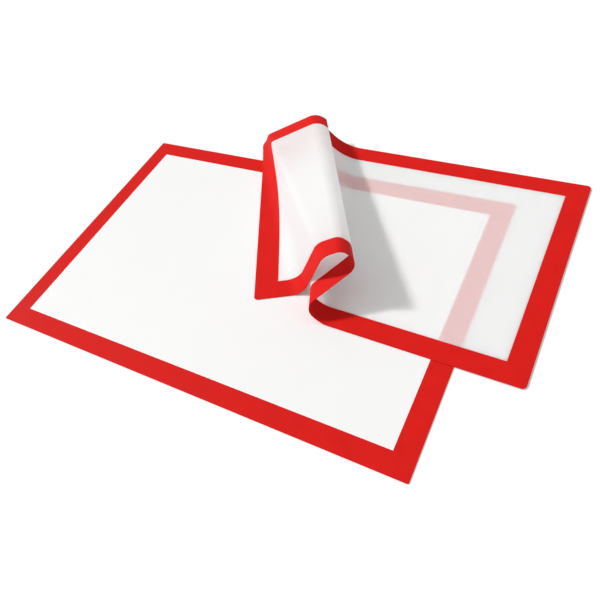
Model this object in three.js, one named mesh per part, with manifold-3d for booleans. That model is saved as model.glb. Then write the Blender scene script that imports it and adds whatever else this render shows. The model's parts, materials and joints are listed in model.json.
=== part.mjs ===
// Two silicone pastry mats. The large one lies flat. The small one lies across its rear right corner,
// with its free end folded over in an S that comes down level on the large mat.
// Each mat is a woven glass cloth, coated white on both faces, with a red silicone border round its edge.
// Millimetres, +Z up. The origin is the centre of the large mat's underside, +X along its long side.

import * as THREE from 'three';
import { mergeVertices } from 'three/addons/utils/BufferGeometryUtils.js';
import Module from 'manifold-3d';

const wasm = await Module();
wasm.setup();

// Outer sizes of the two mats
const largeLength = 595;
const largeWidth = 395;
const largeCornerRadius = 2;
const smallLength = 530;
const smallWidth = 315;
const smallCornerRadius = 5;
const cornerSteps = 5;

// Make-up of both sheets
const borderWidth = 26;
const freeBorderWidth = 31; // border at the small mat's folded end
const selvedge = 3; // red silicone past the cut edge of the cloth
const clothThickness = 0.2;
const coatThickness = 0.2;
const bondGap = 0.05; // bond line between the cloth and what covers it
const sheetThickness = clothThickness + 2 * (coatThickness + bondGap);

// Where the small mat lies: its front right corner from the large mat's, and how far it is turned
const smallOffsetX = 74.5;
const smallOffsetY = 137;
const smallTurnDegrees = -0.9;
const restGap = 0.3;

// The fold, counted from its foot to the free end. Each bend is a row of creases across the mat:
// lead is the distance from the bend before it, span is the width of the row itself,
// both measured along the front and the back edge. A positive turn lifts the free end.
const footSkew = 106.6; // how much further from the right end the first crease is at the back
const riseTurn = 43.1;
const riseFrontSpan = 11.2;
const riseBackSpan = 25.7;
const tuckTurn = 111.3;
const tuckFrontLead = 13.7;
const tuckFrontSpan = 13.6;
const tuckBackLead = 31.4;
const tuckBackSpan = 3.2;
const turnoverTurn = -83.4;
const turnoverFrontLead = 60.2;
const turnoverFrontSpan = 13.9;
const turnoverBackLead = 2.8;
const turnoverBackSpan = 3.2;
const crestTurn = -93;
const crestFrontLead = 15.9;
const crestFrontSpan = 6.8;
const crestBackLead = 5.4;
const crestBackSpan = 26.6;
const shoulderTurn = -43.8; // one crease, where the crest breaks into the slope
const shoulderFrontLead = 28;
const shoulderBackLead = 76.8;
const riseShares = [0.5, 0.5]; // how a bend's turn is divided over its creases
const tuckShares = [0.5, 0.5];
const turnoverShares = [0.333, 0.667];
const crestShares = [0.625, 0.375];
const landingCreases = 2;
const landingSpan = 15.5;
const flapFront = 55; // flat length past the landing, at the front edge
const creaseGap = 0.6; // room between two strips at a crease
const stripWall = 0.3; // coat beside the cloth at a strip's crease

const redSilicone = { color: 0xe4211c, roughness: 0.42, metalness: 0 };
const whiteSilicone = { color: 0xf5f5f3, roughness: 0.5, metalness: 0 };
const glassCloth = { color: 0xe6e0cf, roughness: 0.85, metalness: 0 };

// Outline of a mat, counter-clockwise, with its right end at x = 0 and its front edge at y = 0
function matOutline(length, width, radius) {
  const centres = [
    [-radius, radius],
    [-radius, width - radius],
    [radius - length, width - radius],
    [radius - length, radius],
  ];
  const points = [];
  centres.forEach(([x, y], corner) => {
    for (let step = 0; step <= cornerSteps; step += 1) {
      const angle = (corner - 1 + step / cornerSteps) * Math.PI / 2;
      points.push(new THREE.Vector2(x + radius * Math.cos(angle), y + radius * Math.sin(angle)));
    }
  });
  return points;
}

// Keeps the part of a convex outline that lies more than inset to the left of a line
function keepLeft(outline, start, direction, inset) {
  const side = (point) =>
    direction.x * (point.y - start.y) - direction.y * (point.x - start.x) - inset;
  const kept = [];
  outline.forEach((point, i) => {
    const next = outline[(i + 1) % outline.length];
    const here = side(point);
    const there = side(next);
    if (here >= 0) kept.push(point);
    if (here * there < 0) kept.push(point.clone().lerp(next, here / (here - there)));
  });
  return kept;
}

// Cuts an outline back to the rectangle that lies margin inside the mat's edges, endMargin at its left end
function insideMargin(outline, length, width, margin, endMargin = margin) {
  const margins = [margin, margin, endMargin, margin];
  const corners = [[0, 0], [0, width], [-length, width], [-length, 0]].map((c) => new THREE.Vector2(...c));
  return corners.reduce((cut, corner, i) => {
    const along = corners[(i + 1) % 4].clone().sub(corner).normalize();
    return keepLeft(cut, corner, along, margins[i]);
  }, outline);
}

// The part of an outline between two creases, clear of both by inset
function betweenCreases(outline, near, far, inset) {
  let strip = outline;
  if (near) strip = keepLeft(strip, near.foot, near.axis, inset);
  if (far) strip = keepLeft(strip, far.foot, far.axis.clone().negate(), inset);
  return strip;
}

// A plate of the given outline and thickness, centred on the sheet's middle plane
function plate(outline, thickness) {
  const shape = new THREE.Shape(outline);
  const geometry = new THREE.ExtrudeGeometry(shape, { depth: thickness, bevelEnabled: false });
  geometry.translate(0, 0, -thickness / 2);
  geometry.deleteAttribute('normal');
  geometry.deleteAttribute('uv');
  const merged = mergeVertices(geometry, 1e-6);
  return new wasm.Manifold(new wasm.Mesh({
    numProp: 3,
    vertProperties: new Float32Array(merged.attributes.position.array),
    triVerts: new Uint32Array(merged.index.array),
  }));
}

function solidMesh(name, solid, finish) {
  const { vertProperties, triVerts } = solid.getMesh();
  const geometry = new THREE.BufferGeometry();
  geometry.setAttribute('position', new THREE.BufferAttribute(new Float32Array(vertProperties), 3));
  geometry.setIndex(new THREE.BufferAttribute(new Uint32Array(triVerts), 1));
  geometry.computeVertexNormals();
  const mesh = new THREE.Mesh(geometry, new THREE.MeshStandardMaterial(finish));
  mesh.name = name;
  return mesh;
}

const middle = (solid, axis) => (solid.boundingBox().min[axis] + solid.boundingBox().max[axis]) / 2;
const separate = (solid, axis) => solid.decompose().sort((a, b) => middle(a, axis) - middle(b, axis));

// The solids of one strip of a mat: its cloth, its white coat and its red border.
// The coat and the border keep a pocket for the cloth, which ends short of the mat's edge.
function stripSolids({ length, width, radius, endBorder }, near, far) {
  const outline = matOutline(length, width, radius);
  const strip = betweenCreases(outline, near, far, creaseGap / 2);
  const clothStrip = betweenCreases(outline, near, far, creaseGap / 2 + stripWall);
  const pocketStrip = betweenCreases(outline, near, far, creaseGap / 2 + stripWall - bondGap);
  const pocket = plate(insideMargin(pocketStrip, length, width, selvedge - bondGap),
    clothThickness + 2 * bondGap);
  const opening = insideMargin(outline, length, width, borderWidth - bondGap, endBorder - bondGap);
  const window = plate(opening, 2 * sheetThickness);
  const panel = insideMargin(strip, length, width, borderWidth, endBorder);
  return {
    cloth: plate(insideMargin(clothStrip, length, width, selvedge), clothThickness),
    coat: plate(panel, sheetThickness).subtract(pocket),
    border: plate(strip, sheetThickness).subtract(window).subtract(pocket),
  };
}

function largeMat() {
  const mat = new THREE.Group();
  const sizes = { length: largeLength, width: largeWidth, radius: largeCornerRadius, endBorder: borderWidth };
  const solids = stripSolids(sizes);
  const [lowerCoat, upperCoat] = separate(solids.coat, 2);
  mat.add(solidMesh('large_cloth', solids.cloth, glassCloth));
  mat.add(solidMesh('large_lower_coat', lowerCoat, whiteSilicone));
  mat.add(solidMesh('large_upper_coat', upperCoat, whiteSilicone));
  mat.add(solidMesh('large_border', solids.border, redSilicone));
  mat.position.set(largeLength / 2, -largeWidth / 2, sheetThickness / 2);
  return mat;
}

// A crease across the flat small mat, from its place on the front edge to its place on the back edge
function crease(front, back, turn) {
  const foot = new THREE.Vector2(-front, 0);
  const axis = new THREE.Vector2(front - back, smallWidth).normalize();
  return { front, foot, axis, angle: THREE.MathUtils.degToRad(turn) };
}

// The turn of everything past a crease, in the flat mat's own coordinates
function creaseMatrix({ foot, axis, angle }) {
  const there = new THREE.Matrix4().makeTranslation(foot.x, foot.y, 0);
  const turn = new THREE.Matrix4().makeRotationAxis(new THREE.Vector3(axis.x, axis.y, 0), angle);
  const back = new THREE.Matrix4().makeTranslation(-foot.x, -foot.y, 0);
  return there.multiply(turn).multiply(back);
}

// Creases that bring the sheet down level with the base: parallel to the level line of the last slope
function landing(slopeMatrix) {
  const e = slopeMatrix.elements;
  const fall = new THREE.Vector2(-e[2], -e[6]);
  const steepness = fall.length();
  const slope = Math.asin(Math.min(1, steepness));
  fall.normalize();
  const step = landingSpan / (landingCreases - 1);
  const degrees = THREE.MathUtils.radToDeg(slope) / landingCreases;
  let dropInside = 0;
  for (let i = 1; i < landingCreases; i += 1) {
    dropInside += step * Math.sin(slope * (1 - i / landingCreases));
  }
  const reach = (e[14] - dropInside) / steepness;
  return Array.from({ length: landingCreases }, (_, i) => {
    const distance = reach + i * step;
    const stationAt = (y) => -(distance - y * fall.y) / fall.x;
    return crease(stationAt(0), stationAt(smallWidth), degrees);
  });
}

// One bend: its creases share its turn, and fan out evenly between its two ends
function bend(shares, turn, front, frontSpan, back, backSpan) {
  return shares.map((share, i) => {
    const along = i / (shares.length - 1);
    return crease(front + along * frontSpan, back + along * backSpan, turn * share);
  });
}

// All creases in order, with the first at the given place on the front edge
function foldCreases(riseFront) {
  const riseBack = riseFront + footSkew;
  const tuckFront = riseFront + riseFrontSpan + tuckFrontLead;
  const tuckBack = riseBack + riseBackSpan + tuckBackLead;
  const turnoverFront = tuckFront + tuckFrontSpan + turnoverFrontLead;
  const turnoverBack = tuckBack + tuckBackSpan + turnoverBackLead;
  const crestFront = turnoverFront + turnoverFrontSpan + crestFrontLead;
  const crestBack = turnoverBack + turnoverBackSpan + crestBackLead;
  const shoulderFront = crestFront + crestFrontSpan + shoulderFrontLead;
  const shoulderBack = crestBack + crestBackSpan + shoulderBackLead;
  const creases = [
    ...bend(riseShares, riseTurn, riseFront, riseFrontSpan, riseBack, riseBackSpan),
    ...bend(tuckShares, tuckTurn, tuckFront, tuckFrontSpan, tuckBack, tuckBackSpan),
    ...bend(turnoverShares, turnoverTurn, turnoverFront, turnoverFrontSpan, turnoverBack, turnoverBackSpan),
    ...bend(crestShares, crestTurn, crestFront, crestFrontSpan, crestBack, crestBackSpan),
    crease(shoulderFront, shoulderBack, shoulderTurn),
  ];
  const slopeMatrix = creases.reduce((m, c) => m.multiply(creaseMatrix(c)), new THREE.Matrix4());
  return [...creases, ...landing(slopeMatrix)];
}

function addStrip(group, label, near, far) {
  const sizes = {
    length: smallLength, width: smallWidth, radius: smallCornerRadius, endBorder: freeBorderWidth,
  };
  const solids = stripSolids(sizes, near, far);
  group.add(solidMesh(`small_cloth_${label}`, solids.cloth, glassCloth));
  group.add(solidMesh(`small_coat_${label}`, solids.coat, whiteSilicone));
  const borders = separate(solids.border, 1);
  const borderNames = borders.length === 1 ? ['border'] : ['front_border', 'rear_border'];
  borders.forEach((border, i) => {
    group.add(solidMesh(`small_${borderNames[i]}_${label}`, border, redSilicone));
  });
}

// The small mat: a flat base, then one strip after each crease, each hung on the strip before it
function smallMat() {
  const foldLength = foldCreases(0).at(-1).front;
  const creases = foldCreases(smallLength - flapFront - foldLength);
  const mat = new THREE.Group();
  addStrip(mat, 'base', null, creases[0]);
  let carrier = mat;
  creases.forEach((near, i) => {
    const far = creases[i + 1];
    const hinge = new THREE.Group();
    hinge.name = `crease_${i + 1}`;
    hinge.position.set(near.foot.x, near.foot.y, 0);
    hinge.quaternion.setFromAxisAngle(new THREE.Vector3(near.axis.x, near.axis.y, 0), near.angle);
    const strip = new THREE.Group();
    strip.position.set(-near.foot.x, -near.foot.y, 0);
    addStrip(strip, far ? `strip_${i + 1}` : 'flap', near, far);
    hinge.add(strip);
    carrier.add(hinge);
    carrier = strip;
  });
  const cornerX = largeLength / 2 + smallOffsetX;
  const cornerY = smallOffsetY - largeWidth / 2;
  mat.position.set(cornerX, cornerY, sheetThickness + restGap + sheetThickness / 2);
  mat.rotation.z = THREE.MathUtils.degToRad(smallTurnDegrees);
  return mat;
}

const pastryMats = new THREE.Group();
pastryMats.add(largeMat(), smallMat());

export default pastryMats;
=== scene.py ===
import json
import math

import bmesh
import bpy
from mathutils import Matrix, Vector


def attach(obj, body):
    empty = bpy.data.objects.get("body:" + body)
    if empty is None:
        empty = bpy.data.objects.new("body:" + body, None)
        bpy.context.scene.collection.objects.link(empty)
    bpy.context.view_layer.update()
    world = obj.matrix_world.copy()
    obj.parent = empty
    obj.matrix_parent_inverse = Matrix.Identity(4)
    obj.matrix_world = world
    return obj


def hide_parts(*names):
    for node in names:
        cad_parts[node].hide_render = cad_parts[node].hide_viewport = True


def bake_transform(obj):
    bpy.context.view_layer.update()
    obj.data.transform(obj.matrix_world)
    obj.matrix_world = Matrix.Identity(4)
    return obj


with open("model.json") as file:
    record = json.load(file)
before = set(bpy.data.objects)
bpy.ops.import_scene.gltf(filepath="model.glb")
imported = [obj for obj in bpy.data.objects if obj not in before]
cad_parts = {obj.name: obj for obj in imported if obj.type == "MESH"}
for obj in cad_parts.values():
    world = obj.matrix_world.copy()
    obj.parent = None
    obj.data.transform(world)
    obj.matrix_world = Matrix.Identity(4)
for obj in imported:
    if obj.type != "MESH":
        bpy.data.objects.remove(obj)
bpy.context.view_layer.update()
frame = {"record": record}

scene = bpy.context.scene
scene.view_settings.view_transform = "Standard"
mm = 0.001

cameraView = {
    "place": (0.3807, -0.3597, 0.5379),
    "right": (0.8731, 0.4472, -0.1943),
    "up": (-0.2556, 0.7591, 0.5987),
    "lens": 33.04,
    "sensor": 36.0,
    "nearest": 10 * mm,
}


def addCamera(view):
    data = bpy.data.cameras.new("photoCamera")
    data.lens = view["lens"]
    data.sensor_width = view["sensor"]
    data.clip_start = view["nearest"]
    camera = bpy.data.objects.new("photoCamera", data)
    right = Vector(view["right"]).normalized()
    back = right.cross(Vector(view["up"])).normalized()
    up = back.cross(right)
    turn = Matrix((right, up, back)).transposed().to_4x4()
    camera.matrix_world = Matrix.Translation(view["place"]) @ turn
    scene.collection.objects.link(camera)
    scene.camera = camera


addCamera(cameraView)
print("camera placed")


# Small helpers for node trees: a value may be a socket or a plain number
def addNode(tree, kind, values=None, **settings):
    node = tree.nodes.new(kind)
    for name, value in settings.items():
        setattr(node, name, value)
    for name, value in (values or {}).items():
        plug(tree, node.inputs[name], value)
    return node


def plug(tree, socket, value):
    if isinstance(value, bpy.types.NodeSocket):
        tree.links.new(value, socket)
    else:
        socket.default_value = value


def calc(tree, operation, *values):
    node = addNode(tree, "ShaderNodeMath", dict(enumerate(values)), operation=operation)
    return node.outputs[0]


def blendColours(tree, share, first, second):
    node = addNode(tree, "ShaderNodeMix", data_type="RGBA")
    plug(tree, node.inputs["Factor"], share)
    colourIn = [socket for socket in node.inputs if socket.type == "RGBA"]
    plug(tree, colourIn[0], first)
    plug(tree, colourIn[1], second)
    return next(socket for socket in node.outputs if socket.type == "RGBA")


# Finishes. They read the flat map: the mat's own length and width, in metres
noiseSettings = {
    "roughness": 0.55,
    "range": (0.3, 0.7),  # what most of the noise lies between
}
whiteSettings = {
    "colour": (0.92, 0.92, 0.916, 1),
    "threadColour": (0.89, 0.89, 0.882, 1),
    "through": 0.62,  # share of the light that passes each face
    "threadPitch": 1.1 * mm,
    "threadShare": (0.2, 1.0),  # how much of the weave shows, from cloud to cloud
    "threadStrength": 0.12,
    "threadDepth": 0.05 * mm,
    "gloss": 0.25,
    "roughness": (0.46, 0.6),
    "cloudScale": 26.0,
    "cloudDetail": 3.0,
}
# The large panel is denser, so that little of the floor shows through it
denseSettings = dict(whiteSettings, **{
    "colour": (0.985, 0.985, 0.98, 1),
    "threadColour": (0.965, 0.965, 0.955, 1),
    "through": 0.05,
})
redSettings = {
    "colour": (0.72, 0.0125, 0.0098, 1),
    "darkColour": (0.65, 0.0105, 0.0082, 1),
    "paleColour": (0.77, 0.025, 0.02, 1),
    "fleckShare": 0.35,
    "gloss": 0.045,
    "roughness": (0.46, 0.64),
    "cloudScale": 34.0,
    "cloudDetail": 4.0,
    "grainScale": 1900.0,
    "grainDetail": 1.0,
    "grainStrength": 0.15,
    "grainDepth": 0.04 * mm,
}


def flatCoordinates(tree):
    return addNode(tree, "ShaderNodeUVMap", uv_map="flat").outputs["UV"]


def clouds(tree, coordinates, scale, detail):
    return addNode(tree, "ShaderNodeTexNoise", {
        "Vector": coordinates, "Scale": scale, "Detail": detail,
        "Roughness": noiseSettings["roughness"],
    }).outputs["Fac"]


def spread(tree, noise, low, high):
    least, most = noiseSettings["range"]
    return addNode(tree, "ShaderNodeMapRange", {
        "Value": noise, "From Min": least, "From Max": most, "To Min": low, "To Max": high,
    }).outputs["Result"]


def whiteSilicone(name, settings):
    material = bpy.data.materials.new(name)
    material.use_nodes = True
    tree = material.node_tree
    skin = tree.nodes["Principled BSDF"]
    flat = flatCoordinates(tree)
    along = addNode(tree, "ShaderNodeSeparateXYZ", {"Vector": flat})
    turns = 2 * math.pi / settings["threadPitch"]
    warp = calc(tree, "SINE", calc(tree, "MULTIPLY", along.outputs["X"], turns))
    weft = calc(tree, "SINE", calc(tree, "MULTIPLY", along.outputs["Y"], turns))
    weave = calc(tree, "MULTIPLY", warp, weft)
    weaveShare = calc(tree, "MULTIPLY_ADD", weave, 0.5, 0.5)
    cloudy = clouds(tree, flat, settings["cloudScale"], settings["cloudDetail"])
    threadShare = calc(tree, "MULTIPLY", weaveShare, spread(tree, cloudy, *settings["threadShare"]))
    colour = blendColours(tree, threadShare, settings["colour"], settings["threadColour"])
    plug(tree, skin.inputs["Base Color"], colour)
    plug(tree, skin.inputs["Roughness"], spread(tree, cloudy, *settings["roughness"]))
    skin.inputs["Specular IOR Level"].default_value = settings["gloss"]
    bump = addNode(tree, "ShaderNodeBump", {
        "Height": weave, "Strength": settings["threadStrength"],
        "Distance": settings["threadDepth"],
    })
    plug(tree, skin.inputs["Normal"], bump.outputs["Normal"])
    passing = addNode(tree, "ShaderNodeBsdfTranslucent", {"Color": (1, 1, 1, 1)})
    mixed = addNode(tree, "ShaderNodeMixShader", {0: settings["through"]})
    tree.links.new(skin.outputs[0], mixed.inputs[1])
    tree.links.new(passing.outputs[0], mixed.inputs[2])
    tree.links.new(mixed.outputs[0], tree.nodes["Material Output"].inputs["Surface"])
    return material


def redSilicone(settings):
    material = bpy.data.materials.new("redSilicone")
    material.use_nodes = True
    tree = material.node_tree
    skin = tree.nodes["Principled BSDF"]
    flat = flatCoordinates(tree)
    cloudy = clouds(tree, flat, settings["cloudScale"], settings["cloudDetail"])
    grain = clouds(tree, flat, settings["grainScale"], settings["grainDetail"])
    mottled = blendColours(tree, spread(tree, cloudy, 0.0, 1.0),
                           settings["darkColour"], settings["colour"])
    flecks = spread(tree, grain, 0.0, settings["fleckShare"])
    flecked = blendColours(tree, flecks, mottled, settings["paleColour"])
    plug(tree, skin.inputs["Base Color"], flecked)
    plug(tree, skin.inputs["Roughness"], spread(tree, cloudy, *settings["roughness"]))
    skin.inputs["Specular IOR Level"].default_value = settings["gloss"]
    bump = addNode(tree, "ShaderNodeBump", {
        "Height": grain, "Strength": settings["grainStrength"], "Distance": settings["grainDepth"],
    })
    plug(tree, skin.inputs["Normal"], bump.outputs["Normal"])
    return material


whiteFinish = whiteSilicone("whiteSilicone", whiteSettings)
denseFinish = whiteSilicone("denseSilicone", denseSettings)
redFinish = redSilicone(redSettings)
print("finishes made")


# A geometry tree with the inputs that every piece has, and those of its own
def newTree(name, inputs):
    tree = bpy.data.node_groups.new(name, "GeometryNodeTree")
    tree.interface.new_socket("Geometry", in_out="OUTPUT", socket_type="NodeSocketGeometry")
    kinds = {"Geometry": "NodeSocketGeometry", **inputs, "Finish": "NodeSocketMaterial"}
    for inputName, kind in kinds.items():
        tree.interface.new_socket(inputName, in_out="INPUT", socket_type=kind)
    given = tree.nodes.new("NodeGroupInput")
    return tree, given


def closeTree(tree, given, geometry):
    real = addNode(tree, "GeometryNodeRealizeInstances", {"Geometry": geometry})
    finished = addNode(tree, "GeometryNodeSetMaterial", {
        "Geometry": real.outputs["Geometry"], "Material": given.outputs["Finish"],
    })
    end = tree.nodes.new("NodeGroupOutput")
    tree.links.new(finished.outputs["Geometry"], end.inputs["Geometry"])


# Adds the tree as a modifier, with its inputs set by identifier
def addTree(piece, tree, values):
    modifier = piece.modifiers.new(tree.name, "NODES")
    modifier.node_group = tree
    for item in tree.interface.items_tree:
        if item.in_out == "INPUT" and item.name in values:
            modifier[item.identifier] = values[item.name]


def applyTrees(piece):
    bpy.context.view_layer.update()
    graph = bpy.context.evaluated_depsgraph_get()
    made = bpy.data.meshes.new_from_object(piece.evaluated_get(graph), depsgraph=graph)
    piece.modifiers.clear()
    made.name = piece.name
    piece.data = made


def newPiece(name, mesh=None):
    piece = bpy.data.objects.new(name, mesh or bpy.data.meshes.new(name))
    scene.collection.objects.link(piece)
    return piece


# The large mat: a flat panel with a border round it, lying on the floor
largeMat = {
    "length": 595 * mm,
    "width": 395 * mm,
    "corner": 2 * mm,
    "cornerSteps": 6,
    "border": 26 * mm,
    "thickness": 0.7 * mm,
    "weld": 0.005 * mm,
}


def plateTree(name, withWindow):
    tree, given = newTree(name, {
        "Length": "NodeSocketFloat", "Width": "NodeSocketFloat", "Corner": "NodeSocketFloat",
        "Border": "NodeSocketFloat", "Thickness": "NodeSocketFloat",
    })
    take = given.outputs
    inset = calc(tree, "MULTIPLY", take["Border"], 2.0)
    inner = addNode(tree, "GeometryNodeCurvePrimitiveQuadrilateral", {
        "Width": calc(tree, "SUBTRACT", take["Length"], inset),
        "Height": calc(tree, "SUBTRACT", take["Width"], inset),
    })
    outline = inner.outputs["Curve"]
    if withWindow:
        outer = addNode(tree, "GeometryNodeCurvePrimitiveQuadrilateral", {
            "Width": take["Length"], "Height": take["Width"],
        })
        rounded = addNode(tree, "GeometryNodeFilletCurve", {
            "Curve": outer.outputs["Curve"], "Count": largeMat["cornerSteps"],
            "Radius": take["Corner"],
        }, mode="POLY")
        both = tree.nodes.new("GeometryNodeJoinGeometry")
        tree.links.new(rounded.outputs["Curve"], both.inputs["Geometry"])
        tree.links.new(outline, both.inputs["Geometry"])
        outline = both.outputs["Geometry"]
    under = addNode(tree, "GeometryNodeFillCurve", {"Curve": outline}).outputs["Mesh"]
    upper = addNode(tree, "GeometryNodeExtrudeMesh", {
        "Mesh": under, "Offset Scale": take["Thickness"], "Individual": False,
    })
    lower = addNode(tree, "GeometryNodeFlipFaces", {"Mesh": under})
    solid = tree.nodes.new("GeometryNodeJoinGeometry")
    tree.links.new(upper.outputs["Mesh"], solid.inputs["Geometry"])
    tree.links.new(lower.outputs["Mesh"], solid.inputs["Geometry"])
    merged = addNode(tree, "GeometryNodeMergeByDistance", {
        "Geometry": solid.outputs["Geometry"], "Distance": largeMat["weld"],
    })
    closeTree(tree, given, merged.outputs["Geometry"])
    return tree


def mapFlat(mesh):
    layer = mesh.uv_layers.new(name="flat")
    for loop in mesh.loops:
        place = mesh.vertices[loop.vertex_index].co
        layer.data[loop.index].uv = (place.x, place.y)


def makeLarge(name, withWindow, finish):
    piece = newPiece(name)
    addTree(piece, plateTree(name + "Tree", withWindow), {
        "Length": largeMat["length"], "Width": largeMat["width"], "Corner": largeMat["corner"],
        "Border": largeMat["border"], "Thickness": largeMat["thickness"], "Finish": finish,
    })
    applyTrees(piece)
    mapFlat(piece.data)
    return piece


largeSheet = makeLarge("large_sheet", False, denseFinish)
largeBand = makeLarge("large_band", True, redFinish)
print("large mat made:", len(largeSheet.data.polygons), len(largeBand.data.polygons), "faces")

# The small mat, first cut flat. Its right end is at x = 0 and its front edge at y = 0
smallMat = {
    "length": 530 * mm,
    "width": 315 * mm,
    "corner": 5 * mm,
    "cornerSteps": 6,
    "border": 26 * mm,
    "freeBorder": 31 * mm,  # at the folded end
    "thickness": 0.7 * mm,
    "edgeRound": 0.2 * mm,
    "place": (372 * mm, -60.5 * mm, 1.35 * mm),
    "turnDegrees": -0.9,
    "rowPitch": 15 * mm,
    "columnPitch": 25 * mm,
    "cutSnap": 0.002 * mm,
    "seamSnap": 0.01 * mm,
    "leastReach": 2 * mm,  # a crease with more room than this gets a span even on both sides of its hinge
    "placeDigits": 7,
}

# Bends of the fold, from its foot to the free end: turn in degrees, positive lifts the free end,
# then where it starts and ends from the right end, along the front and the back edge, in mm
fold = {
    "rise": {"turn": 43.1, "front": (225.3, 247.4), "back": (324.7, 375.4)},
    "tuck": {"turn": 111.3, "front": (248.6, 273.8), "back": (392.3, 398.3)},
    "turnover": {"turn": -111.1, "front": (327.4, 356.3), "back": (399.5, 406.3)},
    "crest": {"turn": -60.8, "front": (359.7, 371.6), "back": (409.9, 433.5)},
    "shoulder": {"turn": -48.4, "front": (379.1, 398.2), "back": (502.7, 511.6)},
    "landing": {"turn": 64.82, "front": (452.52, 483.11), "back": (515.49, 546.08)},
}
foldDetail = {"steps": 96, "cuts": 16}


def ruling(bend, share):
    values = fold[bend]
    return tuple((a + share * (b - a)) * mm for a, b in (values["front"], values["back"]))


def between(first, second, shares=(0.5, 0.5)):
    ends = zip(ruling(first, 1.0), ruling(second, 0.0), shares)
    return tuple(a + share * (b - a) for a, b, share in ends)


# Lines where the pieces of the small mat meet, one piece for each crease of the frame
seams = [
    ruling("rise", 0.5), between("rise", "tuck"),
    ruling("tuck", 0.5), between("tuck", "turnover"),
    ruling("turnover", 0.25), ruling("turnover", 0.75),
    ruling("crest", 0.35), ruling("shoulder", 0.3),
    between("shoulder", "landing", (0.1, 0.85)), ruling("landing", 0.5),
]


def pastLine(line, x, y):
    front, back = line
    return -x - (front + (back - front) * y / smallMat["width"])


def matOutline(mat):
    r = mat["corner"]
    centres = [(-r, r), (-r, mat["width"] - r), (r - mat["length"], mat["width"] - r),
               (r - mat["length"], r)]
    points = []
    for corner, (x, y) in enumerate(centres):
        for step in range(mat["cornerSteps"] + 1):
            angle = (corner - 1 + step / mat["cornerSteps"]) * math.pi / 2
            points.append((x + r * math.cos(angle), y + r * math.sin(angle)))
    return points


def flatPattern(mat):
    pattern = bmesh.new()
    pattern.faces.new([pattern.verts.new((x, y, 0)) for x, y in matOutline(mat)])
    cuts = []
    for x in (-mat["border"], mat["freeBorder"] - mat["length"]):
        cuts.append(((x, 0, 0), (1, 0, 0)))
    for y in (mat["border"], mat["width"] - mat["border"]):
        cuts.append(((0, y, 0), (0, 1, 0)))
    lines = [ruling(bend, cut / foldDetail["cuts"])
             for bend in fold for cut in range(foldDetail["cuts"] + 1)]
    for front, back in sorted(set(lines + seams)):
        cuts.append(((-front, 0, 0), (mat["width"], back - front, 0)))
    rows = round((mat["width"] - 2 * mat["border"]) / mat["rowPitch"])
    for row in range(1, rows):
        share = row / rows
        y = mat["border"] + share * (mat["width"] - 2 * mat["border"])
        cuts.append(((0, y, 0), (0, 1, 0)))
    baseEnd = ruling("rise", 0.0)[0]
    columns = int((baseEnd - mat["border"]) / mat["columnPitch"])
    for column in range(1, columns + 1):
        cuts.append(((-mat["border"] - column * mat["columnPitch"], 0, 0), (1, 0, 0)))
    for point, normal in cuts:
        everything = pattern.verts[:] + pattern.edges[:] + pattern.faces[:]
        bmesh.ops.bisect_plane(pattern, geom=everything, dist=mat["cutSnap"],
                               plane_co=point, plane_no=normal)
    return pattern


# Which piece a face of the pattern belongs to: panel or border, and the crease it follows
def pieceOf(face, mat):
    centre = face.calc_center_median()
    inset = mat["border"]
    inPanel = (mat["freeBorder"] - mat["length"] < centre.x < -inset
               and inset < centre.y < mat["width"] - inset)
    crease = 1 + sum(pastLine(seam, centre.x, centre.y) > 0 for seam in seams)
    return ("sheet" if inPanel else "band"), crease


# Closed flat solids for one finish, as one mesh with the share of each piece in it
def flatSolids(pattern, mat, finishKind):
    half = mat["thickness"] / 2
    coordinates, flats, faces, sides, owners = [], [], [], [], []
    groups = {}
    for face in pattern.faces:
        kind, crease = pieceOf(face, mat)
        if kind == finishKind:
            groups.setdefault(crease, []).append(face)

    def addVertex(x, y, z):
        coordinates.append((x, y, z))
        flats.append((x, y, 0))
        return len(coordinates) - 1

    def addFace(ring, side):
        faces.append(ring)
        sides.append(side)
        owners.append(crease)

    for crease in sorted(groups):
        members = set(groups[crease])
        layers = {}
        rims = {}
        for face in groups[crease]:
            for vert in face.verts:
                if vert not in layers:
                    layers[vert] = [addVertex(vert.co.x, vert.co.y, z) for z in (half, -half)]
        for face in groups[crease]:
            ring = [layers[vert] for vert in face.verts]
            addFace([top for top, low in ring], "top")
            addFace([low for top, low in reversed(ring)], "low")
            for loop in face.loops:
                near, far = loop.vert, loop.link_loop_next.vert
                others = [other for other in loop.edge.link_faces if other is not face]
                if others and others[0] in members:
                    continue
                (nearTop, nearLow), (farTop, farLow) = layers[near], layers[far]
                if others:
                    addFace([nearLow, farLow, farTop, nearTop], "wall")
                    continue
                for vert in (near, far):
                    if vert not in rims:
                        rim = vert.co + rimDirection(vert) * mat["edgeRound"]
                        rims[vert] = addVertex(rim.x, rim.y, 0)
                addFace([nearLow, farLow, rims[far], rims[near]], "wall")
                addFace([rims[near], rims[far], farTop, nearTop], "wall")
        # a rim that meets a seam or the panel's wall is closed by a small triangle
        for edge in dict.fromkeys(edge for face in groups[crease] for edge in face.edges):
            inside = [face for face in edge.link_faces if face in members]
            if len(inside) != 1 or len(edge.link_faces) != 2:
                continue
            loop = next(loop for loop in inside[0].loops if loop.edge is edge)
            for vert in edge.verts:
                if vert in rims:
                    top, low = layers[vert]
                    ends = [low, top] if loop.vert is vert else [top, low]
                    addFace(ends + [rims[vert]], "wall")
    return coordinates, flats, faces, sides, owners


def rimDirection(vert):
    out = Vector((0, 0, 0))
    for edge in vert.link_edges:
        if len(edge.link_faces) == 1:
            along = edge.other_vert(vert).co - vert.co
            normal = Vector((along.y, -along.x, 0)).normalized()
            if normal.dot(vert.co - edge.link_faces[0].calc_center_median()) < 0:
                normal.negate()
            out += normal
    return out.normalized()


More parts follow.
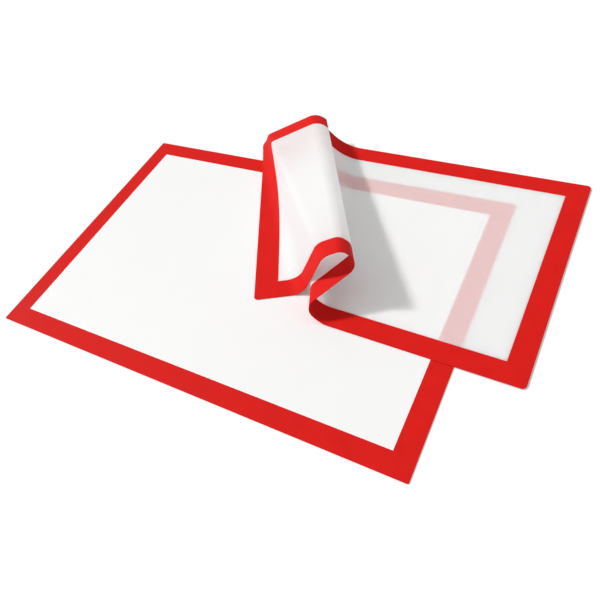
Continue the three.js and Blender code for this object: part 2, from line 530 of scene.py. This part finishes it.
# One bend of the fold: everything past each line turns a little further about it
def bendTree():
    tree, given = newTree("bendTree", {
        "Turn": "NodeSocketFloat", "Front Start": "NodeSocketFloat",
        "Front End": "NodeSocketFloat", "Back Start": "NodeSocketFloat",
        "Back End": "NodeSocketFloat", "Width": "NodeSocketFloat", "Steps": "NodeSocketInt",
    })
    take = given.outputs
    opened = tree.nodes.new("GeometryNodeRepeatInput")
    closed = tree.nodes.new("GeometryNodeRepeatOutput")
    opened.pair_with_output(closed)
    plug(tree, opened.inputs["Iterations"], take["Steps"])
    tree.links.new(take["Geometry"], opened.inputs["Geometry"])
    left = calc(tree, "SUBTRACT", take["Steps"], opened.outputs["Iteration"])
    share = calc(tree, "DIVIDE", calc(tree, "SUBTRACT", left, 0.5), take["Steps"])

    def along(start, end):
        return calc(tree, "MULTIPLY_ADD", share, calc(tree, "SUBTRACT", end, start), start)

    front = along(take["Front Start"], take["Front End"])
    back = along(take["Back Start"], take["Back End"])
    flat = addNode(tree, "GeometryNodeInputNamedAttribute", {"Name": "flatPlace"},
                   data_type="FLOAT_VECTOR")
    parts = addNode(tree, "ShaderNodeSeparateXYZ", {"Vector": flat.outputs["Attribute"]})
    across = calc(tree, "DIVIDE", parts.outputs["Y"], take["Width"])
    reach = calc(tree, "MULTIPLY_ADD", calc(tree, "SUBTRACT", back, front), across, front)
    distance = calc(tree, "MULTIPLY", parts.outputs["X"], -1.0)
    past = calc(tree, "GREATER_THAN", distance, reach)
    axis = addNode(tree, "ShaderNodeCombineXYZ", {
        "X": calc(tree, "SUBTRACT", front, back), "Y": take["Width"],
    })
    foot = addNode(tree, "ShaderNodeCombineXYZ", {"X": calc(tree, "MULTIPLY", front, -1.0)})
    place = tree.nodes.new("GeometryNodeInputPosition")
    turned = addNode(tree, "ShaderNodeVectorRotate", {
        "Vector": place.outputs["Position"], "Center": foot.outputs[0], "Axis": axis.outputs[0],
        "Angle": calc(tree, "DIVIDE", take["Turn"], take["Steps"]),
    }, rotation_type="AXIS_ANGLE")
    moved = addNode(tree, "GeometryNodeSetPosition", {
        "Geometry": opened.outputs["Geometry"], "Selection": past,
        "Position": turned.outputs["Vector"],
    })
    tree.links.new(moved.outputs["Geometry"], closed.inputs["Geometry"])
    closeTree(tree, given, closed.outputs["Geometry"])
    return tree


foldTree = bendTree()


# Folds the flat solids, from the free end back to the foot, and returns the points at rest
def foldedPoints(coordinates, flats, faces, finish):
    mesh = bpy.data.meshes.new("flatMat")
    mesh.from_pydata(coordinates, [], faces)
    attribute = mesh.attributes.new("flatPlace", "FLOAT_VECTOR", "POINT")
    attribute.data.foreach_set("vector", [value for flat in flats for value in flat])
    piece = newPiece("flatMat", mesh)
    for bend in reversed(list(fold)):
        values = fold[bend]
        (frontStart, frontEnd), (backStart, backEnd) = values["front"], values["back"]
        addTree(piece, foldTree, {
            "Turn": math.radians(values["turn"]), "Width": smallMat["width"],
            "Front Start": frontStart * mm, "Front End": frontEnd * mm,
            "Back Start": backStart * mm, "Back End": backEnd * mm,
            "Steps": foldDetail["steps"], "Finish": finish,
        })
    applyTrees(piece)
    turn = Matrix.Rotation(math.radians(smallMat["turnDegrees"]), 4, "Z")
    piece.data.transform(Matrix.Translation(smallMat["place"]) @ turn)
    points = [vertex.co.copy() for vertex in piece.data.vertices]
    bpy.data.objects.remove(piece)
    return points


# One piece of the folded mat, with the sheet's own normals so that no seam shows
def foldedPiece(name, crease, solids, points, finish):
    coordinates, flats, faces, sides, owners = solids
    mine = [i for i, owner in enumerate(owners) if owner == crease]
    used = sorted({vertex for i in mine for vertex in faces[i]})
    index = {vertex: i for i, vertex in enumerate(used)}
    mesh = bpy.data.meshes.new(name)
    mesh.from_pydata([points[v] for v in used], [], [[index[v] for v in faces[i]] for i in mine])
    partner = {}
    for vertex in used:
        spot = tuple(round(value, smallMat["placeDigits"]) for value in flats[vertex])
        partner.setdefault(spot, []).append(vertex)
    upward = {}
    for pair in partner.values():
        if len(pair) == 2:
            top, low = sorted(pair, key=lambda v: -coordinates[v][2])
            upward[top] = upward[low] = (points[top] - points[low]).normalized()
    layer = mesh.uv_layers.new(name="flat")
    normals = []
    for polygon, i in zip(mesh.polygons, mine):
        polygon.use_smooth = True
        for loop, vertex in zip(polygon.loop_indices, faces[i]):
            layer.data[loop].uv = flats[vertex][:2]
            if sides[i] == "wall":
                normals.append(polygon.normal.copy())
            else:
                normals.append(upward[vertex] if sides[i] == "top" else -upward[vertex])
    mesh.materials.append(finish)
    mesh.normals_split_custom_set(normals)
    piece = newPiece(name, mesh)
    flatOf = [flats[v] for v in used]
    return piece, flatOf


def makeSmall():
    pattern = flatPattern(smallMat)
    pieces = {}
    for kind, finish in (("sheet", whiteFinish), ("band", redFinish)):
        solids = flatSolids(pattern, smallMat, kind)
        coordinates, flats, faces = solids[:3]
        points = foldedPoints(coordinates, flats, faces, finish)
        for crease in range(1, len(seams) + 2):
            name = f"small_{kind}_{crease}"
            pieces[kind, crease] = foldedPiece(name, crease, solids, points, finish)
    panelFlat = sum(face.calc_area() for face in pattern.faces
                    if pieceOf(face, smallMat) == ("sheet", 1))
    pattern.free()
    return pieces, panelFlat


smallPieces, firstPanelFlat = makeSmall()
print("small mat made:", len(smallPieces), "pieces")


# The span of each piece about its own crease's joint, from its near seam to its far seam
def seamSpan(crease):
    near = seams[crease - 2] if crease > 1 else ruling("rise", 0.0)
    far = seams[crease - 1] if crease <= len(seams) else ruling("landing", 1.0)
    nearPoints, farPoints = [], []
    for kind in ("sheet", "band"):
        piece, flatOf = smallPieces[kind, crease]
        for vertex, (x, y, z) in zip(piece.data.vertices, flatOf):
            if abs(pastLine(near, x, y)) < smallMat["seamSnap"]:
                nearPoints.append(vertex.co)
            if abs(pastLine(far, x, y)) < smallMat["seamSnap"]:
                farPoints.append(vertex.co)
    joints = frame["record"]["behaviour"]["joints"]
    joint = next(joint for joint in joints if joint["name"] == f"crease_{crease}")
    axis = Vector(joint["axis"]).normalized()
    middle = [sum(points, Vector()) / len(points) for points in (nearPoints, farPoints)]
    way = middle[1] - middle[0]
    way = (way - axis * way.dot(axis)).normalized()
    foot = Vector(joint["pos_m"])
    start = max((point - foot).dot(way) for point in nearPoints)
    end = min((point - foot).dot(way) for point in farPoints)
    reach = min(-start, end)
    if reach > smallMat["leastReach"]:
        start, end = -reach, reach
    return foot + way * start, foot + way * end, end - start


for crease in range(1, len(seams) + 2):
    start, end, gap = seamSpan(crease)
    print(f"crease {crease}: turns over {gap / mm:.1f} mm")
    label = "base" if crease == 1 else f"strip_{crease - 1}"
    labels = [label, "flap"] if crease == len(seams) + 1 else [label]
    sheet, band = smallPieces["sheet", crease][0], smallPieces["band", crease][0]
    for piece, slot in ((sheet, "white_silicone"), (band, "red_silicone")):
        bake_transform(piece)
    for name in labels:
        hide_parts(f"small_cloth_{name}", f"small_coat_{name}")
        if name in ("base", "flap"):
            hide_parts(f"small_border_{name}")
        else:
            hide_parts(f"small_front_border_{name}", f"small_rear_border_{name}")

for piece, slot in ((largeSheet, "white_silicone"), (largeBand, "red_silicone")):
    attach(piece, "large_mat")
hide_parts("large_cloth", "large_lower_coat", "large_upper_coat")
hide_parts("large_border")

# Floor, world and light. The world shows white, but lights the mats only by the fill
studio = {
    "floorSize": 8.0,
    "floorDrop": 0.3 * mm,
    "floorColour": (0.84, 0.84, 0.84, 1),
    "floorGlow": 0.2,
    "fill": 0.45,
    "keyStrength": 2.4,
    "keyFrom": (-0.711, -0.025, 0.703),
    "keyAngleDegrees": 7.0,
}


def makeFloor():
    half = studio["floorSize"] / 2
    mesh = bpy.data.meshes.new("floor")
    corners = [(-half, -half), (half, -half), (half, half), (-half, half)]
    mesh.from_pydata([(x, y, -studio["floorDrop"]) for x, y in corners], [], [(0, 1, 2, 3)])
    floor = newPiece("floor", mesh)
    material = bpy.data.materials.new("floorPaper")
    material.use_nodes = True
    tree = material.node_tree
    tree.nodes.clear()
    paper = addNode(tree, "ShaderNodeBsdfDiffuse", {"Color": studio["floorColour"]})
    seen = addNode(tree, "ShaderNodeLightPath").outputs
    clear = calc(tree, "SUBTRACT", seen["Is Transmission Ray"], seen["Is Diffuse Ray"])
    direct = calc(tree, "MAXIMUM", seen["Is Camera Ray"], clear)
    shown = calc(tree, "MAXIMUM", direct, seen["Is Glossy Ray"])
    glow = addNode(tree, "ShaderNodeEmission", {
        "Strength": calc(tree, "MULTIPLY", shown, studio["floorGlow"]),
    })
    both = addNode(tree, "ShaderNodeAddShader")
    tree.links.new(paper.outputs[0], both.inputs[0])
    tree.links.new(glow.outputs[0], both.inputs[1])
    end = addNode(tree, "ShaderNodeOutputMaterial")
    tree.links.new(both.outputs[0], end.inputs["Surface"])
    mesh.materials.append(material)


def makeWorld():
    world = bpy.data.worlds.new("studio")
    scene.world = world
    world.use_nodes = True
    tree = world.node_tree
    sky = tree.nodes["Background"]
    sky.inputs["Color"].default_value = (1, 1, 1, 1)
    seen = addNode(tree, "ShaderNodeLightPath").outputs
    direct = calc(tree, "MAXIMUM", seen["Is Camera Ray"], seen["Is Transmission Ray"])
    shown = calc(tree, "MAXIMUM", direct, seen["Is Glossy Ray"])
    level = calc(tree, "MULTIPLY_ADD", shown, 1.0 - studio["fill"], studio["fill"])
    plug(tree, sky.inputs["Strength"], level)


def makeKey():
    data = bpy.data.lights.new("key", "SUN")
    data.energy = studio["keyStrength"]
    data.angle = math.radians(studio["keyAngleDegrees"])
    key = bpy.data.objects.new("key", data)
    key.rotation_mode = "QUATERNION"
    key.rotation_quaternion = Vector(studio["keyFrom"]).to_track_quat("Z", "Y")
    scene.collection.objects.link(key)


makeFloor()
makeWorld()
makeKey()
print("studio set")
